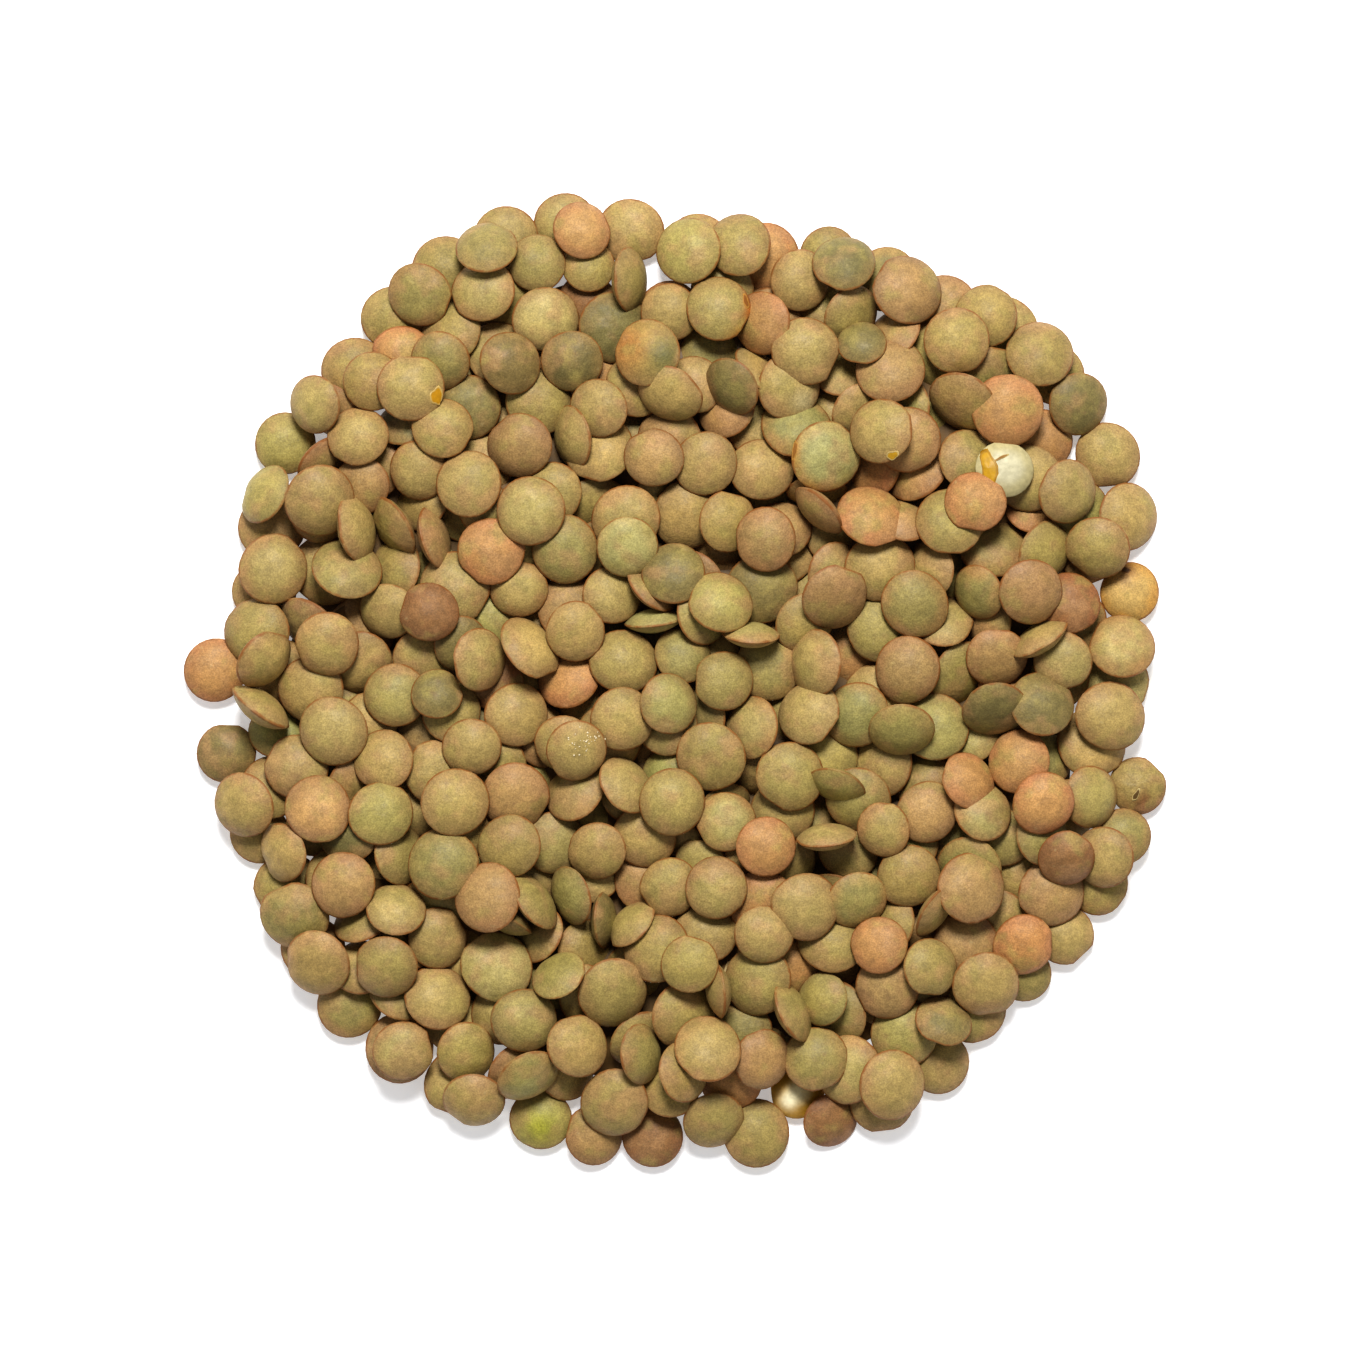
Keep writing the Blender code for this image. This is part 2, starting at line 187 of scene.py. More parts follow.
def lens_faces(dx, dy, p, q, radius, half):
    """Lower and upper face of a lens above the points dx, dy, from its middle.

    The lens is what two equal balls share; p and q are the level parts of its axis.
    """
    ball = (radius * radius + half * half) / (2 * half)
    back = ball - half
    rise = back * math.sqrt(1 - p * p - q * q)
    under_a = ball * ball - (dx + back * p) ** 2 - (dy + back * q) ** 2
    under_b = ball * ball - (dx - back * p) ** 2 - (dy - back * q) ** 2
    inside = (under_a > 0) & (under_b > 0)
    reach_a = np.sqrt(np.where(inside, under_a, 0))
    reach_b = np.sqrt(np.where(inside, under_b, 0))
    low = np.maximum(-rise - reach_a, rise - reach_b)
    high = np.minimum(-rise + reach_a, rise + reach_b)
    inside &= low < high
    return low, high, inside


AROUND = ((1, 0), (0.7, 0.7), (0, 1), (-0.7, 0.7), (-1, 0), (-0.7, -0.7), (0, -1), (0.7, -0.7))
MOVES = [(a, b, 0, 0) for a, b in AROUND] + [(0, 0, a, b) for a, b in AROUND]


class Heap:
    """The lentils laid so far, and the height of their top on a fine grid."""

    def __init__(self):
        self.top = np.zeros((SIDE, SIDE))
        self.kept_clear = np.zeros((SIDE, SIDE))
        self.lentils = []

    def window(self, x, y, reach):
        """The grid cells within reach of a point, and how far they are from it."""
        first = int((x - reach + HALF_FIELD) / CELL)
        last = int((x + reach + HALF_FIELD) / CELL) + 2
        low = int((y - reach + HALF_FIELD) / CELL)
        high = int((y + reach + HALF_FIELD) / CELL) + 2
        dx = (np.arange(first, last) + 0.5) * CELL - HALF_FIELD - x
        dy = (np.arange(low, high) + 0.5) * CELL - HALF_FIELD - y
        return (slice(low, high), slice(first, last)), dx[None, :], dy[:, None]

    def rest(self, x, y, p, q, radius, half):
        """Height of a lentil's middle when it just touches what lies below it."""
        cells, dx, dy = self.window(x, y, radius)
        low, _, inside = lens_faces(dx, dy, p, q, radius, half)
        under = np.maximum(self.top[cells], self.kept_clear[cells])
        return float((under - low)[inside].max())

    def settle(self, x, y, p, q, radius, half, travel, hold):
        """Slide and tip a lentil until it can go no lower."""
        z = self.rest(x, y, p, q, radius, half)
        start = (x, y, p, q)
        step = FIRST_STEP
        tip = FIRST_TIP
        while step > LAST_STEP:
            moved = False
            for a, b, c, d in MOVES:
                to_x, to_y = x + a * step, y + b * step
                to_p, to_q = p + c * tip, q + d * tip
                if math.hypot(to_x - start[0], to_y - start[1]) > travel:
                    continue
                if math.hypot(to_p - start[2], to_q - start[3]) > hold:
                    continue
                if to_p * to_p + to_q * to_q > STEEPEST_SQUARED:
                    continue
                to_z = self.rest(to_x, to_y, to_p, to_q, radius, half)
                effort = FRICTION * step * math.hypot(a, b)
                effort += TIP_FRICTION * tip * math.hypot(c, d) * radius
                if to_z < z - effort - LEAST_DROP:
                    x, y, z, p, q = to_x, to_y, to_z, to_p, to_q
                    moved = True
            if not moved:
                step /= 2
                tip /= 2
        return x, y, z, p, q

    def lay(self, x, y, p, q, radius, half, travel=3.0, hold=FREE_HOLD, wedge=0.0):
        """Settle a lentil and raise the heap's top where it lies.

        One that would hang over a hollow or over the room kept clear is left out.
        One with its own place is pressed in instead, and wedged in if it stands on edge.
        """
        x, y, z, p, q = self.settle(x, y, p, q, radius, half, travel, hold)
        cells, dx, dy = self.window(x, y, radius)
        low, high, inside = lens_faces(dx, dy, p, q, radius, half)
        gaps = (z + low - self.top[cells])[inside]
        gap = round(float(gaps.mean()), 4)
        if wedge == 0 and (gap > LOOSE or float(gaps.min()) > TOUCHING):
            return
        if wedge > 0:
            lean = math.hypot(p, q)
            clear = min(z, math.hypot(radius * lean, half * math.sqrt(1 - lean * lean)))
            sink = max(wedge * (2 * lean - 1), PRESS * (gap - LOOSE / 2), 0.0)
            z = max(round(z - sink, 4), clear)
        over = inside & (z + high > self.top[cells])
        self.top[cells] = np.where(over, z + high, self.top[cells])
        self.lentils.append((x, y, z, p, q, radius, half))


def lean_of(tilt, toward):
    """Level parts of the axis of a lentil tilted in a direction, from degrees."""
    return polar(math.sin(math.radians(tilt)), math.radians(toward))


def draw_size(rng):
    """Radius and half thickness of the next lentil."""
    radius = rng.normal(LENTIL_RADIUS, RADIUS_SPREAD)
    radius = min(max(radius, RADIUS_LIMITS[0]), RADIUS_LIMITS[1])
    return radius, radius * rng.uniform(*THICKNESS_RANGE)


def lay_rim(heap, rng):
    """One lentil after another along the outline, between those with their own place."""
    angle = 0.0
    while angle < 2 * math.pi - 0.08:
        radius, half = draw_size(rng)
        out = outline(angle) - radius - abs(rng.normal(0, 0.5))
        x, y = polar(out, angle)
        if min(math.hypot(x - row[0], y - row[1]) for row in FOOT_LENTILS) > 4.6:
            p, q = rng.normal(0, 0.08, 2)
            heap.lay(x, y, p, q, radius, half, travel=1.0)
        angle += (2 * radius + rng.normal(-0.1, 0.4)) / out


def lowest_site(heap, booked, rng):
    """The most sunken of some random places, and how far a lentil may slide from it."""
    best = None
    for _ in range(SITES_TRIED):
        angle = rng.uniform(0, 2 * math.pi)
        distance = math.sqrt(rng.uniform(0, 1)) * (outline(angle) - 3.6)
        x, y = polar(distance, angle)
        share = distance / (outline(angle) - 3.2)
        wanted = EDGE_HEIGHT + (MIDDLE_HEIGHT - EDGE_HEIGHT) * (1 - share ** 2.5)
        cells, _, _ = heap.window(x, y, SITE_REACH)
        lack = float((heap.top[cells] + booked[cells]).mean()) - wanted
        if best is None or lack < best[0]:
            slack = outline(angle) - 2.9 - distance
            best = (lack, x, y, round(min(max(slack, 0.6), 3.0), 4))
    return best[1:]


def lay_heap():
    """All the lentils: the foot, the rim, the filling and those on top."""
    rng = np.random.default_rng(SEED)
    heap = Heap()
    booked = np.zeros_like(heap.top)
    for x, y, diameter, tilt, _ in FOOT_LENTILS + TOP_LENTILS:
        cells, dx, dy = heap.window(x, y, diameter / 2)
        room = round(BOOKED_FLAT + BOOKED_STEEP * math.sin(math.radians(tilt)), 4)
        booked[cells] += np.where(dx * dx + dy * dy < diameter * diameter / 4, room, 0)
    for x, y, diameter, tilt, toward in FOOT_LENTILS:
        half = diameter * HALF_THICKNESS
        heap.lay(x, y, *lean_of(tilt, toward), diameter / 2, half, travel=0.4)
    for x, y, diameter, _, _ in FOOT_LENTILS:
        cells, dx, dy = heap.window(x, y, diameter / 2)
        column = dx * dx + dy * dy < (CLEAR_SHARE * diameter / 2) ** 2
        heap.kept_clear[cells][column] = CLEAR_HEIGHT
    lay_rim(heap, rng)
    while len(heap.lentils) < LENTIL_COUNT - len(TOP_LENTILS):
        radius, half = draw_size(rng)
        x, y, travel = lowest_site(heap, booked, rng)
        steep = rng.uniform() < STEEP_SHARE
        if steep:
            lean = rng.uniform(*STEEP_LEANS)
        else:
            lean = min(abs(rng.normal(0, FLAT_SPREAD)), FLAT_LIMIT)
        p, q = polar(lean, rng.uniform(0, 2 * math.pi))
        heap.lay(x, y, p, q, radius, half, travel, hold=FIRM_HOLD if steep else FREE_HOLD)
    heap.kept_clear[:] = 0
    for x, y, diameter, tilt, toward in TOP_LENTILS:
        p, q = lean_of(tilt, toward)
        half = diameter * HALF_THICKNESS
        hold = FIRM_HOLD if tilt < STEEP_TILT else STEEP_HOLD
        heap.lay(x, y, p, q, diameter / 2, half, travel=0.5, hold=hold, wedge=WEDGE)
    return heap


# What each lentil with its own place looks like, in the order of the rows above
FOOT_KINDS = (
    "green", "tan", "orange", "grey", "olive", "golden", "green", "pink", "brown", "split",
    "brown", "olive",
)
TOP_KINDS = (
    "olive", "olive", "tan", "peeled", "orange", "orange",
    "tan", "green", "olive", "tan", "olive", "pale", "tan", "orange", "orange", "pink",
    "pale", "green", "grey", "grey", "tan", "green", "grey", "brown", "orange", "pink",
    "green", "tan", "tan", "tan", "olive", "pink", "olive", "tan", "grey", "grey",
    "grey", "tan", "tan", "olive", "olive", "tan", "pink", "tan", "tan", "tan", "tan",
)
# Centre colour, rim colour and how common each kind is among those without their own place
KINDS = {
    "olive": ((0.286, 0.217, 0.068), (0.268, 0.174, 0.061), 30),
    "tan": ((0.337, 0.241, 0.082), (0.302, 0.188, 0.071), 36),
    "pink": ((0.326, 0.202, 0.075), (0.285, 0.157, 0.065), 12),
    "green": ((0.305, 0.252, 0.076), (0.284, 0.203, 0.068), 8),
    "grey": ((0.178, 0.138, 0.045), (0.205, 0.142, 0.050), 5),
    "orange": ((0.392, 0.211, 0.073), (0.358, 0.166, 0.065), 3),
    "brown": ((0.240, 0.122, 0.045), (0.212, 0.094, 0.036), 3),
    "pale": ((0.325, 0.285, 0.105), (0.330, 0.255, 0.095), 1),
    "golden": ((0.470, 0.305, 0.098), (0.430, 0.222, 0.048), 0),
    # The split lentil's pale cream centre colour is a painted highlight on its open face
    "split": ((0.700, 0.603, 0.340), (0.390, 0.203, 0.011), 0),
    "peeled": ((0.500, 0.452, 0.292), (0.440, 0.374, 0.190), 0),
}
# Kinds without the mottled skin, and the shares of the radius between which
# the rim colour comes in
# On the split lentil, the pale centre inside the first share is a painted highlight
BARE_KINDS = {"split": (0.05, 0.70), "peeled": (0.35, 0.85)}
TORN_LIP = (0.66, 0.80)
LOOK_SEED = 21
# Spread of the shade and of the warmth within a kind, its limits, and how much of it
# the lentils with their own place have
SHADE_SPREAD = 0.07
WARMTH_SPREAD = 0.032
SHADE_LIMITS = (0.78, 1.22)
OWN_PLACE_SPREAD = 0.3

# Numbers of the lentils with their own place in the order of laying
FIRST_TOP = LENTIL_COUNT - len(TOP_LENTILS)
# Landmark lentils with a shrivelled skin
WRINKLED = (4, FIRST_TOP + 2, FIRST_TOP + 3, FIRST_TOP + 6)
# Soft stains, and a painted highlight on the split lentil: lentil, place from its middle,
# reach, colour, strength, on the rim only
STAINS_AND_HIGHLIGHT = (
    (4, 0.9, -1.9, 1.8, (0.150, 0.055, 0.018), 1.0, False),
    (4, -0.6, 0.6, 1.4, (0.330, 0.235, 0.080), 0.7, False),
    (5, -0.5, 2.3, 1.2, (0.210, 0.085, 0.012), 0.9, False),
    # Painted highlight: a pale cream patch on the split lentil's open face
    (9, -0.9, -0.8, 0.9, (0.960, 0.880, 0.600), 0.9, False),
    (6, 0.0, -0.7, 1.7, (0.300, 0.290, 0.022), 0.8, False),
    (FIRST_TOP + 2, 1.6, -1.6, 1.2, (0.560, 0.470, 0.250), 0.6, False),
    (FIRST_TOP + 8, -2.0, 0.6, 2.4, (0.390, 0.170, 0.045), 0.9, False),
    (FIRST_TOP + 8, 1.7, -0.5, 1.8, (0.100, 0.095, 0.022), 0.9, False),
    (FIRST_TOP + 10, 3.0, 0.0, 1.6, (0.330, 0.105, 0.014), 1.0, True),
    (FIRST_TOP + 10, 2.0, -2.4, 1.2, (0.330, 0.150, 0.020), 0.8, True),
    (FIRST_TOP + 11, -3.3, -0.3, 1.9, (0.330, 0.115, 0.014), 1.0, True),
    (FIRST_TOP + 11, -0.6, -3.4, 2.2, (0.300, 0.130, 0.022), 0.8, True),
)
# Chipped or cracked places: lentil, place from its middle, length, width, turn, inside, lip
CHIPS = (
    (FIRST_TOP + 6, 2.60, -0.90, 2.0, 1.35, 80, (0.460, 0.225, 0.004), (0.470, 0.320, 0.100)),
    (FIRST_TOP + 12, 1.10, -2.45, 1.4, 0.9, 15, (0.450, 0.250, 0.012), (0.480, 0.350, 0.130)),
    (FIRST_TOP + 10, 2.70, 0.75, 1.7, 0.5, 105, (0.205, 0.075, 0.010), (0.360, 0.175, 0.030)),
    (FIRST_TOP + 11, -3.10, 0.60, 2.1, 0.5, 80, (0.230, 0.095, 0.012), (0.370, 0.190, 0.035)),
    (FIRST_TOP + 3, -1.60, 0.10, 4.4, 1.7, 100, (0.430, 0.235, 0.006), (0.330, 0.170, 0.010)),
    (FIRST_TOP + 3, -0.35, 1.15, 1.9, 0.30, 25, (0.240, 0.110, 0.010), (0.430, 0.330, 0.120)),
    (5, -0.50, 2.25, 1.2, 0.6, 160, (0.070, 0.030, 0.008), (0.150, 0.065, 0.015)),
    (4, -0.20, -0.90, 1.5, 0.55, 60, (0.105, 0.058, 0.014), (0.420, 0.320, 0.130)),
)
# Crumbs on one lentil: lentil, place from its middle, spread, count; and their radius
CRUMBS = (FIRST_TOP + 20, 0.8, 1.1, 0.8, 34)
CRUMB_RADIUS = (0.05, 0.15)

# Mesh of one lentil: sides, rings as shares of the radius, and how blunt its rim is
SEGMENTS = 28
RINGS = (0.22, 0.42, 0.60, 0.75, 0.87, 0.95, 0.985)
RIM_ROUNDING = 0.12
# Unevenness of one lentil, as shares of its radius or of its height
OVAL_MOST = 0.035
THREE_SIDED_MOST = 0.012
FLATTENED_TO = (0.90, 1.02)
POINTED_SHARE = 0.08
POINTED_REACH = 0.07
DENTS = 3
DENT_PLACE = (0.1, 0.65)
DENT_WIDTH = (0.22, 0.42)
DENT_DEPTH = (-0.10, 0.05)
# Folds of a shrivelled skin: share that has them, count, height and turn towards the rim
WRINKLED_SHARE = 0.05
FOLDS = (5, 8)
FOLD_HEIGHT = 0.14
FOLD_TURN = 3.0
# Turn about its own axis from one lentil to the next, in radians
SPIN_STEP = 2.4

# Chipped places: points around, and the rings' shares with their lift off the skin
CHIP_SEGMENTS = 20
CHIP_PROFILE = (
    (0.0, 0.05), (0.40, 0.05), (0.66, 0.05), (0.76, 0.04), (0.86, 0.09), (1.0, -0.05),
)

# Mound painted dark as shade under the lentils: distance inside the outline, and how far and
# how low it stays under the lentils
CORE_INSET = 9.0
CORE_DEPTH = 3.4
CORE_LEAST = 0.9
CORE_FOOT = 0.05
CORE_REACH = 1.6
CORE_RINGS = 12
CORE_SEGMENTS = 48

# Colours in the skins
ROSY = (0.345, 0.195, 0.086, 1)
LEAFY = (0.290, 0.232, 0.066, 1)
BROWN_STAIN = (0.190, 0.105, 0.050, 1)
PALE_CLOUD = (0.430, 0.340, 0.160, 1)
DARK_SPECK = (0.085, 0.060, 0.022, 1)
# Rim line: partly the skin's own darker edge, partly painted shade where the rim turns down
# from the light
RIM_LINE_AND_SHADE = (0.215, 0.075, 0.013, 1)
CRUMB_COLORS = ((0.62, 0.50, 0.30, 1), (0.72, 0.62, 0.42, 1))
# Painted shade: the core is much darker than any lentil and stands for the shade deep between
# them
CORE_SHADE_COLORS = ((0.100, 0.055, 0.015, 1), (0.150, 0.080, 0.022, 1))
RELIEF_STRENGTH = 0.5
SHEEN = 0.35

# White table, which gives a little light of its own
TABLE_HALF = 600.0
TABLE_COLORS = ((0.92, 0.92, 0.93, 1), (0.94, 0.94, 0.94, 1))
TABLE_GLOW = (0.96, 0.97, 1.0, 1)
TABLE_GLOW_STRENGTH = 0.31

# View, from the photograph: its frame in pixels, the heap's middle, millimetres a pixel
FRAME_PIXELS = 1366
HEAP_MIDDLE_PIXEL = (672.5, 682.0)
MM_PER_PIXEL = 0.1
CAMERA_HEIGHT = 0.9
# Height at which the scale of the view holds, in metres, and the sensor's width
SCALE_HEIGHT = 0.003
SENSOR_WIDTH = 36.0

# Soft key light towards the top of the photograph, in metres and watts
KEY_PLACE = (0.0, 0.50, 0.75)
KEY_SIZE = 0.28
KEY_POWER = 10.1
# The sky is brighter near the horizon: heights between which it changes, and its strengths
SKY_HEIGHTS = (0.55, 0.97)
SKY_STRENGTHS = (0.50, 0.11)


def lens_template():
    """Ring share, angle and side of each point of a lentil, and its faces."""
    share = [0.0]
    angle = [0.0]
    side = [1.0]
    for sign in (1.0, -1.0):
        rings = RINGS + (1.0,) if sign > 0 else RINGS[::-1]
        for ring in rings:
            for k in range(SEGMENTS):
                share.append(ring)
                angle.append(2 * math.pi * k / SEGMENTS)
                side.append(0.0 if ring == 1.0 else sign)
    share.append(0.0)
    angle.append(0.0)
    side.append(-1.0)
    faces = []
    rows = 2 * len(RINGS) + 1
    last = len(share) - 1
    for k in range(SEGMENTS):
        following = (k + 1) % SEGMENTS
        faces.append((0, 1 + k, 1 + following))
        for row in range(rows - 1):
            base = 1 + row * SEGMENTS
            below = base + SEGMENTS
            faces.append((base + k, below + k, below + following, base + following))
        base = 1 + (rows - 1) * SEGMENTS
        faces.append((last, base + following, base + k))
    return np.array(share), np.array(angle), np.array(side), faces


SHARE, ANGLE, SIDE_SIGN, LENS_FACES = lens_template()


def axes_of(p, q, spin):
    """Three axes of a lentil: two across its face and one through it."""
    through = np.array((p, q, math.sqrt(max(0.0, 1 - p * p - q * q))))
    across = np.array((1 - p * p / (1 + through[2]), -p * q / (1 + through[2]), -p))
    other = np.cross(through, across)
    first = across * math.cos(spin) + other * math.sin(spin)
    second = other * math.cos(spin) - across * math.sin(spin)
    return first, second, through


def lentil_points(lentil, number, looks, wrinkled):
    """Points of one lentil in its place: a slightly uneven lens."""
    x, y, z, p, q, radius, half = lentil
    oval = looks.uniform(0.0, OVAL_MOST)
    three = looks.uniform(0.0, THREE_SIDED_MOST)
    turn_two, turn_three, turn_flat = looks.uniform(0, 2 * math.pi, 3)
    reach = 1 + oval * np.cos(2 * (ANGLE - turn_two)) + three * np.cos(3 * (ANGLE - turn_three))
    flat = looks.uniform(*FLATTENED_TO)
    toward = np.maximum(np.cos(ANGLE - turn_flat), 0.3)
    reach = np.minimum(reach, np.maximum(flat / toward, flat))
    pointed = POINTED_REACH if looks.uniform() < POINTED_SHARE else 0.0
    aside = np.cos(ANGLE - turn_three)
    reach = reach * (1 + pointed * np.maximum(aside, 0) ** 8)
    across = SHARE * reach * radius
    ball = (radius * radius + half * half) / (2 * half)
    cap = np.sqrt(np.maximum(ball * ball - (SHARE * radius) ** 2, 0)) - (ball - half)
    blunt = RIM_ROUNDING * half * np.sqrt(np.maximum(1 - SHARE ** 2, 0))
    rise = (1 - RIM_ROUNDING) * cap + blunt
    level_x = across * np.cos(ANGLE)
    level_y = across * np.sin(ANGLE)
    for _ in range(DENTS):
        out = looks.uniform(*DENT_PLACE) * radius
        way = looks.uniform(0, 2 * math.pi)
        width = looks.uniform(*DENT_WIDTH) * radius
        depth = looks.uniform(*DENT_DEPTH)
        gap = (level_x - out * math.cos(way)) ** 2 + (level_y - out * math.sin(way)) ** 2
        rise = rise * (1 + depth * np.exp(-gap / (2 * width * width)))
    if wrinkled:
        folds = looks.integers(*FOLDS)
        way = looks.uniform(0, 2 * math.pi)
        waves = np.sin(folds * ANGLE + way + FOLD_TURN * SHARE)
        rise = rise * (1 + FOLD_HEIGHT * SHARE ** 2 * waves)
    first, second, through = axes_of(p, q, number * SPIN_STEP)
    points = level_x[:, None] * first + level_y[:, None] * second
    return points + (SIDE_SIGN * rise)[:, None] * through + np.array((x, y, z))


def mesh_object(name, points, faces, attributes, material):
    """A smooth mesh object in metres, with its attributes and material."""
    mesh = bpy.data.meshes.new(name)
    mesh.from_pydata((points * MM).tolist(), [], faces)
    for title, kind, values in attributes:
        layer = mesh.attributes.new(title, kind, "POINT")
        layer.data.foreach_set("color" if kind == "FLOAT_COLOR" else "value", values.ravel())
    mesh.polygons.foreach_set("use_smooth", [True] * len(mesh.polygons))
    mesh.materials.append(material)
    mesh.update()
    obj = bpy.data.objects.new(name, mesh)
    bpy.context.scene.collection.objects.link(obj)
    return obj


def own_piece(obj):
    """A piece of the heap: it stays with the heap and stands for its solid."""
    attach(obj, "root")
    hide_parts("lentil_heap")


def set_range(node, low, high, to_low, to_high):
    """Limits of a Map Range node."""
    limits = {"From Min": low, "From Max": high, "To Min": to_low, "To Max": to_high}
    for title, number in limits.items():
        node.inputs[title].default_value = number


class Shader:
    """Short ways to add and join the nodes of one material."""

    def __init__(self, name):
        self.material = bpy.data.materials.new(name)
        self.material.use_nodes = True
        self.nodes = self.material.node_tree.nodes
        self.links = self.material.node_tree.links
        self.surface = self.nodes["Principled BSDF"]
        self.place = self.nodes.new("ShaderNodeTexCoord").outputs["Object"]

    def put(self, value, socket):
        """Join or set one input."""
        if hasattr(value, "is_output"):
            self.links.new(value, socket)
        else:
            socket.default_value = value

    def attribute(self, name, color=False):
        """A value, or a colour, that the mesh carries at each point."""
        node = self.nodes.new("ShaderNodeAttribute")
        node.attribute_name = name
        return node.outputs["Color" if color else "Fac"]

    def noise(self, size_mm, detail=3.0, roughness=0.55):
        """Noise whose features are about size_mm wide."""
        node = self.nodes.new("ShaderNodeTexNoise")
        self.put(self.place, node.inputs["Vector"])
        node.inputs["Scale"].default_value = 1000.0 / size_mm
        node.inputs["Detail"].default_value = detail
        node.inputs["Roughness"].default_value = roughness
        return node.outputs["Fac"]

    def spread(self, value, low, high, to_low=0.0, to_high=1.0):
        """Map one range smoothly to another and stop at its ends."""
        node = self.nodes.new("ShaderNodeMapRange")
        node.interpolation_type = "SMOOTHSTEP"
        self.put(value, node.inputs["Value"])
        set_range(node, low, high, to_low, to_high)
        return node.outputs["Result"]

    def combine(self, operation, first, second):
        """Arithmetic on two values."""
        node = self.nodes.new("ShaderNodeMath")
        node.operation = operation
        self.put(first, node.inputs[0])
        self.put(second, node.inputs[1])
        return node.outputs[0]

    def mix(self, factor, first, second, blend="MIX"):
        """Two colours mixed; the numbered sockets are the node's colour ones."""
        node = self.nodes.new("ShaderNodeMix")
        node.data_type = "RGBA"
        node.blend_type = blend
        self.put(factor, node.inputs["Factor"])
        self.put(first, node.inputs[6])
        self.put(second, node.inputs[7])
        return node.outputs[2]

    def shaded(self, color, shade):
        """A colour times a shade from 0 to above 1."""
        grey = self.nodes.new("ShaderNodeCombineColor")
        for title in ("Red", "Green", "Blue"):
            self.put(shade, grey.inputs[title])
        return self.mix(1.0, color, grey.outputs["Color"], "MULTIPLY")

    def drifting_edge(self, size_mm, amount):
        """Share of the radius, 1 at the rim, made uneven by noise."""
        centred = self.combine("SUBTRACT", self.noise(size_mm, 2.0), 0.5)
        drift = self.combine("MULTIPLY", centred, amount)
        return self.combine("ADD", self.attribute("edge"), drift)

    def finish(self, color, roughness, relief, relief_mm):
        """Join the colour, roughness and relief to the surface."""
        self.put(color, self.surface.inputs["Base Color"])
        self.put(roughness, self.surface.inputs["Roughness"])
        bump = self.nodes.new("ShaderNodeBump")
        bump.inputs["Strength"].default_value = RELIEF_STRENGTH
        bump.inputs["Distance"].default_value = relief_mm * MM
        self.put(relief, bump.inputs["Height"])
        self.put(bump.outputs["Normal"], self.surface.inputs["Normal"])
        self.surface.inputs["Specular IOR Level"].default_value = SHEEN
        return self.material


def skin(kind):
    """Dull seed coat: greener in the middle, pinker at the rim, mottled, with a rim line partly
    of painted shade.
    """
    s = Shader("lentil_%s" % kind)
    to_rim = s.spread(s.drifting_edge(2.6, 0.9), 0.45, 1.05)
    color = s.mix(to_rim, s.attribute("centre_tint", True), s.attribute("rim_tint", True))
    rosy = s.spread(s.noise(3.4, 2.0), 0.50, 0.68, 0.0, 0.50)
    color = s.mix(rosy, color, ROSY)
    leafy = s.spread(s.noise(2.8, 2.0), 0.52, 0.70, 0.0, 0.50)
    color = s.mix(leafy, color, LEAFY)
    cloud = s.spread(s.noise(1.3, 3.0, 0.6), 0.32, 0.68, 0.88, 1.11)
    paper = s.spread(s.noise(0.50, 3.0, 0.6), 0.30, 0.70, 0.91, 1.09)
    grain = s.spread(s.noise(0.15, 1.0), 0.30, 0.70, 0.84, 1.16)
    shade = s.combine("MULTIPLY", cloud, s.combine("MULTIPLY", paper, grain))
    color = s.shaded(color, shade)
    stain = s.spread(s.noise(1.9, 3.0, 0.6), 0.62, 0.76, 0.0, 0.35)
    color = s.mix(stain, color, BROWN_STAIN)
    pale = s.spread(s.noise(0.75, 3.0, 0.6), 0.62, 0.80, 0.0, 0.35)
    color = s.mix(pale, color, PALE_CLOUD)
    speck = s.spread(s.noise(0.30, 1.0), 0.72, 0.80, 0.0, 0.35)
    color = s.mix(speck, color, DARK_SPECK)
    broken = s.spread(s.noise(1.5, 2.0), 0.35, 0.60, 0.25, 0.85)
    # Dark band near the rim: partly the skin's edge colour, partly painted shade of the rim
    # turning down
    near_rim = s.spread(s.drifting_edge(0.8, 0.06), 0.935, 0.980)
    color = s.mix(s.combine("MULTIPLY", near_rim, broken), color, RIM_LINE_AND_SHADE)
    rough = s.spread(s.noise(1.4), 0.3, 0.7, 0.52, 0.68)
    fine = s.combine("MULTIPLY", s.noise(0.24, 2.0), 0.35)
    relief = s.combine("ADD", s.noise(0.9, 4.0, 0.65), fine)
    return s.finish(color, rough, relief, 0.16)


def bare_seed(name, rim_from, rim_to):
    """Smooth inside of a seed or its dry papery coat, with only faint clouds; the split
    lentil's pale centre is a painted highlight.
    """
    s = Shader(name)
    to_rim = s.spread(s.drifting_edge(1.6, 0.25), rim_from, rim_to)
    color = s.mix(to_rim, s.attribute("centre_tint", True), s.attribute("rim_tint", True))
    color = s.shaded(color, s.spread(s.noise(0.6, 3.0), 0.3, 0.7, 0.88, 1.10))
    rough = s.spread(s.noise(0.8), 0.3, 0.7, 0.45, 0.60)
    return s.finish(color, rough, s.noise(0.5, 3.0), 0.08)


def plain_stuff(name, first, second, size_mm):
    """Two-toned dry stuff for chips and crumbs, and the core's painted shade."""
    s = Shader(name)
    color = s.mix(s.spread(s.noise(size_mm), 0.35, 0.65), first, second)
    rough = s.spread(s.noise(size_mm * 0.5), 0.3, 0.7, 0.50, 0.70)
    return s.finish(color, rough, s.noise(size_mm * 0.4), 0.05)


def lentil_kinds(count, looks):
    """The kind of each lentil in the order of laying."""
    names = [name for name in KINDS if KINDS[name][2] > 0]
    shares = np.array([KINDS[name][2] for name in names], float)
    drawn = [names[int(i)] for i in looks.choice(len(names), count, p=shares / shares.sum())]
    drawn[:len(FOOT_KINDS)] = FOOT_KINDS
    drawn[count - len(TOP_KINDS):] = TOP_KINDS
    return drawn


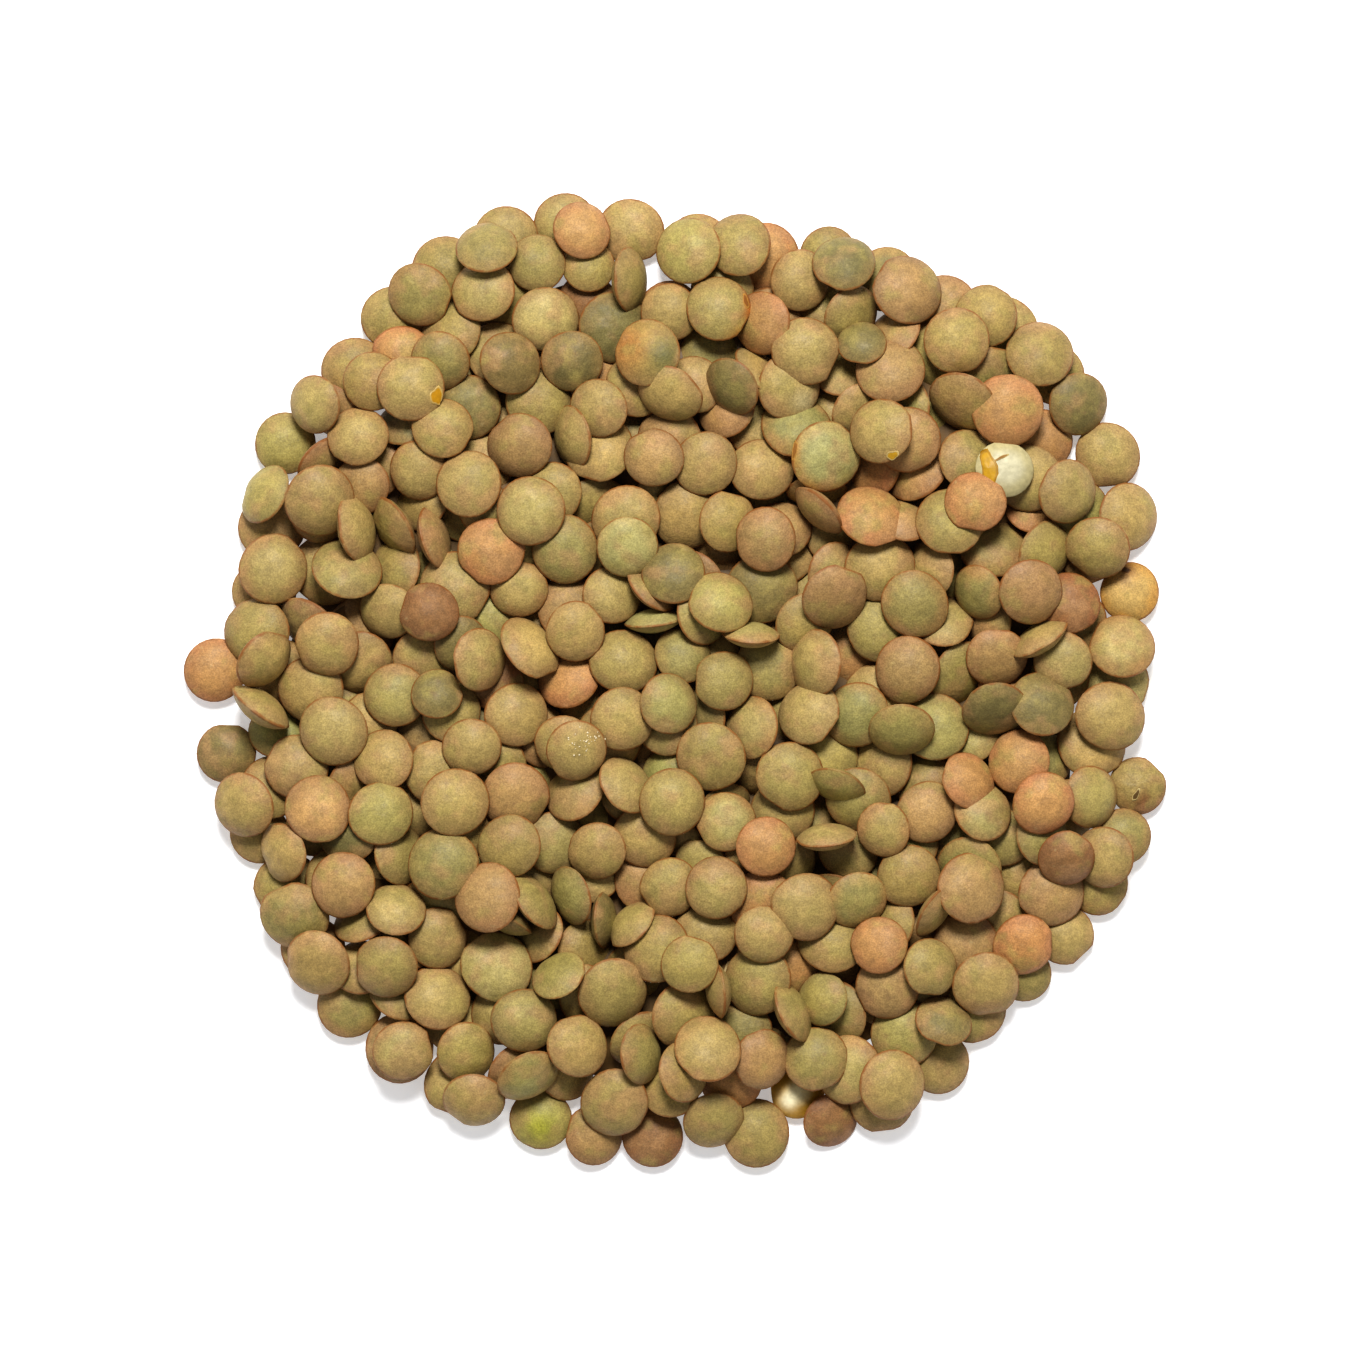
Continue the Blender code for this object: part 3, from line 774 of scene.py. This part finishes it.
def jitter(color, looks, spread):
    """A near shade of a colour: lighter or darker, greener or redder."""
    light = looks.normal(1.0, SHADE_SPREAD * spread)
    warm = looks.normal(0.0, WARMTH_SPREAD * spread)
    shade = np.array(color) * min(max(light, SHADE_LIMITS[0]), SHADE_LIMITS[1])
    return shade * np.array((1 + warm, 1 - 0.4 * warm, 1 - 0.8 * warm))


def with_stains_and_highlight(points, lentil, number, centre, rim):
    """Tints of each point of a lentil, with its soft stains and painted highlight."""
    centre = np.tile(centre, (len(points), 1))
    rim = np.tile(rim, (len(points), 1))
    for owner, dx, dy, reach, color, strength, rim_only in STAINS_AND_HIGHLIGHT:
        if owner != number:
            continue
        gap = np.hypot(points[:, 0] - lentil[0] - dx, points[:, 1] - lentil[1] - dy)
        weight = strength * np.exp(-(gap / reach) ** 2)
        if rim_only:
            weight = weight * np.clip((SHARE - 0.7) / 0.25, 0, 1)
        weight = weight[:, None]
        centre = centre * (1 - weight) + np.array(color) * weight
        rim = rim * (1 - weight) + np.array(color) * weight
    return centre, rim


def tint_attributes(edge, centre, rim):
    """Mesh attributes that the skins read."""
    ones = np.ones((len(edge), 1))
    return (
        ("edge", "FLOAT", edge),
        ("centre_tint", "FLOAT_COLOR", np.hstack((centre, ones))),
        ("rim_tint", "FLOAT_COLOR", np.hstack((rim, ones))),
    )


def add_lentils(heap):
    """All the lentils, one piece for each kind; gives the points of each lentil."""
    looks = np.random.default_rng(LOOK_SEED)
    kinds = lentil_kinds(len(heap.lentils), looks)
    groups = {}
    shapes = []
    for number, lentil in enumerate(heap.lentils):
        kind = kinds[number]
        wrinkled = looks.uniform() < WRINKLED_SHARE or number in WRINKLED
        points = lentil_points(lentil, number, looks, wrinkled)
        own_place = number < len(FOOT_LENTILS) or number >= FIRST_TOP
        spread = OWN_PLACE_SPREAD if own_place else 1.0
        centre = jitter(KINDS[kind][0], looks, spread)
        rim = jitter(KINDS[kind][1], looks, spread)
        centre, rim = with_stains_and_highlight(points, lentil, number, centre, rim)
        shapes.append(points)
        groups.setdefault(kind, []).append((points, centre, rim))
    for kind, members in groups.items():
        points, centre, rim = (np.concatenate(part) for part in zip(*members))
        faces = []
        for k in range(len(members)):
            faces.extend(tuple(i + k * len(SHARE) for i in face) for face in LENS_FACES)
        attributes = tint_attributes(np.tile(SHARE, len(members)), centre, rim)
        if kind in BARE_KINDS:
            material = bare_seed("lentil_%s" % kind, *BARE_KINDS[kind])
        else:
            material = skin(kind)
        own_piece(mesh_object("lentils_%s" % kind, points, faces, attributes, material))
    return shapes


def on_skin(tree, middle, dx, dy):
    """Place and outward direction on a lentil's upper side, as near as it has to dx, dy."""
    for _ in range(12):
        start = Vector((middle[0] + dx, middle[1] + dy, 50.0))
        place, normal, _, _ = tree.ray_cast(start, Vector((0, 0, -1)))
        if place is not None:
            return place, normal
        dx, dy = dx * 0.96, dy * 0.96
    return Vector(middle[:3]), Vector((0, 0, 1))


def ring_faces(base, rings, around):
    """Faces between closed rings of points that follow one another from base."""
    faces = []
    for ring in range(rings):
        for k in range(around):
            a = base + ring * around + k
            b = base + ring * around + (k + 1) % around
            faces.append((a, a + around, b + around, b))
    return faces


def add_chips(heap, shapes):
    """Chipped places: an uneven patch on the skin, with a raised lip round a flat inside."""
    looks = np.random.default_rng(LOOK_SEED + 1)
    points, faces, edge, inside, lip = [], [], [], [], []
    for owner, dx, dy, length, width, turn, color, lip_color in CHIPS:
        lentil = heap.lentils[owner]
        tree = BVHTree.FromPolygons(shapes[owner].tolist(), LENS_FACES)
        turn = math.radians(turn)
        three, five = looks.uniform(0, 2 * math.pi, 2)
        base = len(points)
        for share, lift in CHIP_PROFILE:
            for k in range(CHIP_SEGMENTS):
                angle = 2 * math.pi * k / CHIP_SEGMENTS
                wide, narrow = math.sin(3 * angle + three), math.sin(5 * angle + five)
                reach = share * (1 + 0.12 * wide + 0.08 * narrow)
                along = 0.5 * length * reach * math.cos(angle)
                across = 0.5 * width * reach * math.sin(angle)
                out_x = dx + along * math.cos(turn) - across * math.sin(turn)
                out_y = dy + along * math.sin(turn) + across * math.cos(turn)
                place, normal = on_skin(tree, lentil, out_x, out_y)
                points.append(tuple(place + normal * lift))
                edge.append(share)
                inside.append(color)
                lip.append(lip_color)
        faces += ring_faces(base, len(CHIP_PROFILE) - 1, CHIP_SEGMENTS)
    attributes = tint_attributes(np.array(edge), np.array(inside), np.array(lip))
    material = bare_seed("torn_skin", *TORN_LIP)
    own_piece(mesh_object("chipped_places", np.array(points), faces, attributes, material))


def add_crumbs(heap, shapes):
    """Tiny pale crumbs on one lentil."""
    owner, dx, dy, spread, count = CRUMBS
    tree = BVHTree.FromPolygons(shapes[owner].tolist(), LENS_FACES)
    looks = np.random.default_rng(LOOK_SEED + 2)
    corners = ((1, 0, 0), (0, 1, 0), (-1, 0, 0), (0, -1, 0), (0, 0, 0.8), (0, 0, -0.8))
    upper = [(k, (k + 1) % 4, 4) for k in range(4)]
    lower = [((k + 1) % 4, k, 5) for k in range(4)]
    points, faces = [], []
    for _ in range(count):
        out_x = dx + looks.normal(0, spread)
        out_y = dy + looks.normal(0, spread)
        place, _ = on_skin(tree, heap.lentils[owner], out_x, out_y)
        size = looks.uniform(*CRUMB_RADIUS)
        base = len(points)
        for corner in corners:
            uneven = looks.uniform(0.7, 1.3, 3)
            points.append(tuple(np.array(place) + size * np.array(corner) * uneven))
        faces.extend(tuple(base + i for i in side) for side in upper + lower)
    material = plain_stuff("pale_crumb", *CRUMB_COLORS, 0.3)
    own_piece(mesh_object("pale_crumbs", np.array(points), faces, (), material))


def add_core(heap):
    """Low mound of hidden lentils that closes the view down to the table in the middle,
    coloured dark as painted shade.
    """
    points = []
    for ring in range(CORE_RINGS + 1):
        for k in range(CORE_SEGMENTS):
            angle = 2 * math.pi * k / CORE_SEGMENTS
            x, y = polar((outline(angle) - CORE_INSET) * ring / CORE_RINGS, angle)
            cells, _, _ = heap.window(x, y, CORE_REACH)
            height = max(float(heap.top[cells].mean()) - CORE_DEPTH, CORE_LEAST)
            points.append((x, y, CORE_FOOT if ring == CORE_RINGS else height))
    faces = ring_faces(0, CORE_RINGS, CORE_SEGMENTS)
    material = plain_stuff("lentil_core", *CORE_SHADE_COLORS, 3.0)
    own_piece(mesh_object("lentil_core", np.array(points), faces, (), material))


def add_floor():
    """A plain white table that glows a little, which pales the shadows cast on it."""
    corners = ((-1, -1, 0), (1, -1, 0), (1, 1, 0), (-1, 1, 0))
    points = np.array(corners) * TABLE_HALF
    s = Shader("white_table")
    color = s.mix(s.noise(40.0), *TABLE_COLORS)
    material = s.finish(color, 0.6, s.noise(4.0), 0.01)
    s.surface.inputs["Emission Color"].default_value = TABLE_GLOW
    s.surface.inputs["Emission Strength"].default_value = TABLE_GLOW_STRENGTH
    floor = mesh_object("table", points, [(0, 1, 2, 3)], (), material)


def add_light(name, place, size, power):
    """A square soft light that faces the heap."""
    data = bpy.data.lights.new(name, "AREA")
    data.shape = "SQUARE"
    data.size = size
    data.energy = power
    obj = bpy.data.objects.new(name, data)
    bpy.context.scene.collection.objects.link(obj)
    obj.location = place
    x, y, z = place
    obj.rotation_euler = (math.atan2(math.hypot(x, y), z), 0, math.atan2(x, -y))


def add_camera():
    """Camera straight above, framed like the photograph."""
    data = bpy.data.cameras.new("camera")
    camera = bpy.data.objects.new("camera", data)
    bpy.context.scene.collection.objects.link(camera)
    middle = FRAME_PIXELS / 2
    x = (middle - HEAP_MIDDLE_PIXEL[0]) * MM_PER_PIXEL * MM
    y = (HEAP_MIDDLE_PIXEL[1] - middle) * MM_PER_PIXEL * MM
    camera.location = (x, y, CAMERA_HEIGHT)
    data.sensor_width = SENSOR_WIDTH
    frame_width = FRAME_PIXELS * MM_PER_PIXEL * MM
    data.lens = SENSOR_WIDTH * (CAMERA_HEIGHT - SCALE_HEIGHT) / frame_width
    bpy.context.scene.camera = camera


def add_studio():
    """Soft light from the sky and one key light."""
    world = bpy.data.worlds.new("studio")
    world.use_nodes = True
    nodes = world.node_tree.nodes
    links = world.node_tree.links
    split = nodes.new("ShaderNodeSeparateXYZ")
    links.new(nodes.new("ShaderNodeTexCoord").outputs["Generated"], split.inputs[0])
    rise = nodes.new("ShaderNodeMapRange")
    links.new(split.outputs["Z"], rise.inputs["Value"])
    set_range(rise, *SKY_HEIGHTS, *SKY_STRENGTHS)
    nodes["Background"].inputs["Color"].default_value = (1, 1, 1, 1)
    links.new(rise.outputs["Result"], nodes["Background"].inputs["Strength"])
    bpy.context.scene.world = world
    add_light("key", KEY_PLACE, KEY_SIZE, KEY_POWER)
    bpy.context.scene.view_settings.view_transform = "Standard"
    bpy.context.scene.view_settings.look = "Medium High Contrast"


laid = lay_heap()
lentil_shapes = add_lentils(laid)
add_chips(laid, lentil_shapes)
add_crumbs(laid, lentil_shapes)
add_core(laid)
add_floor()
add_camera()
add_studio()
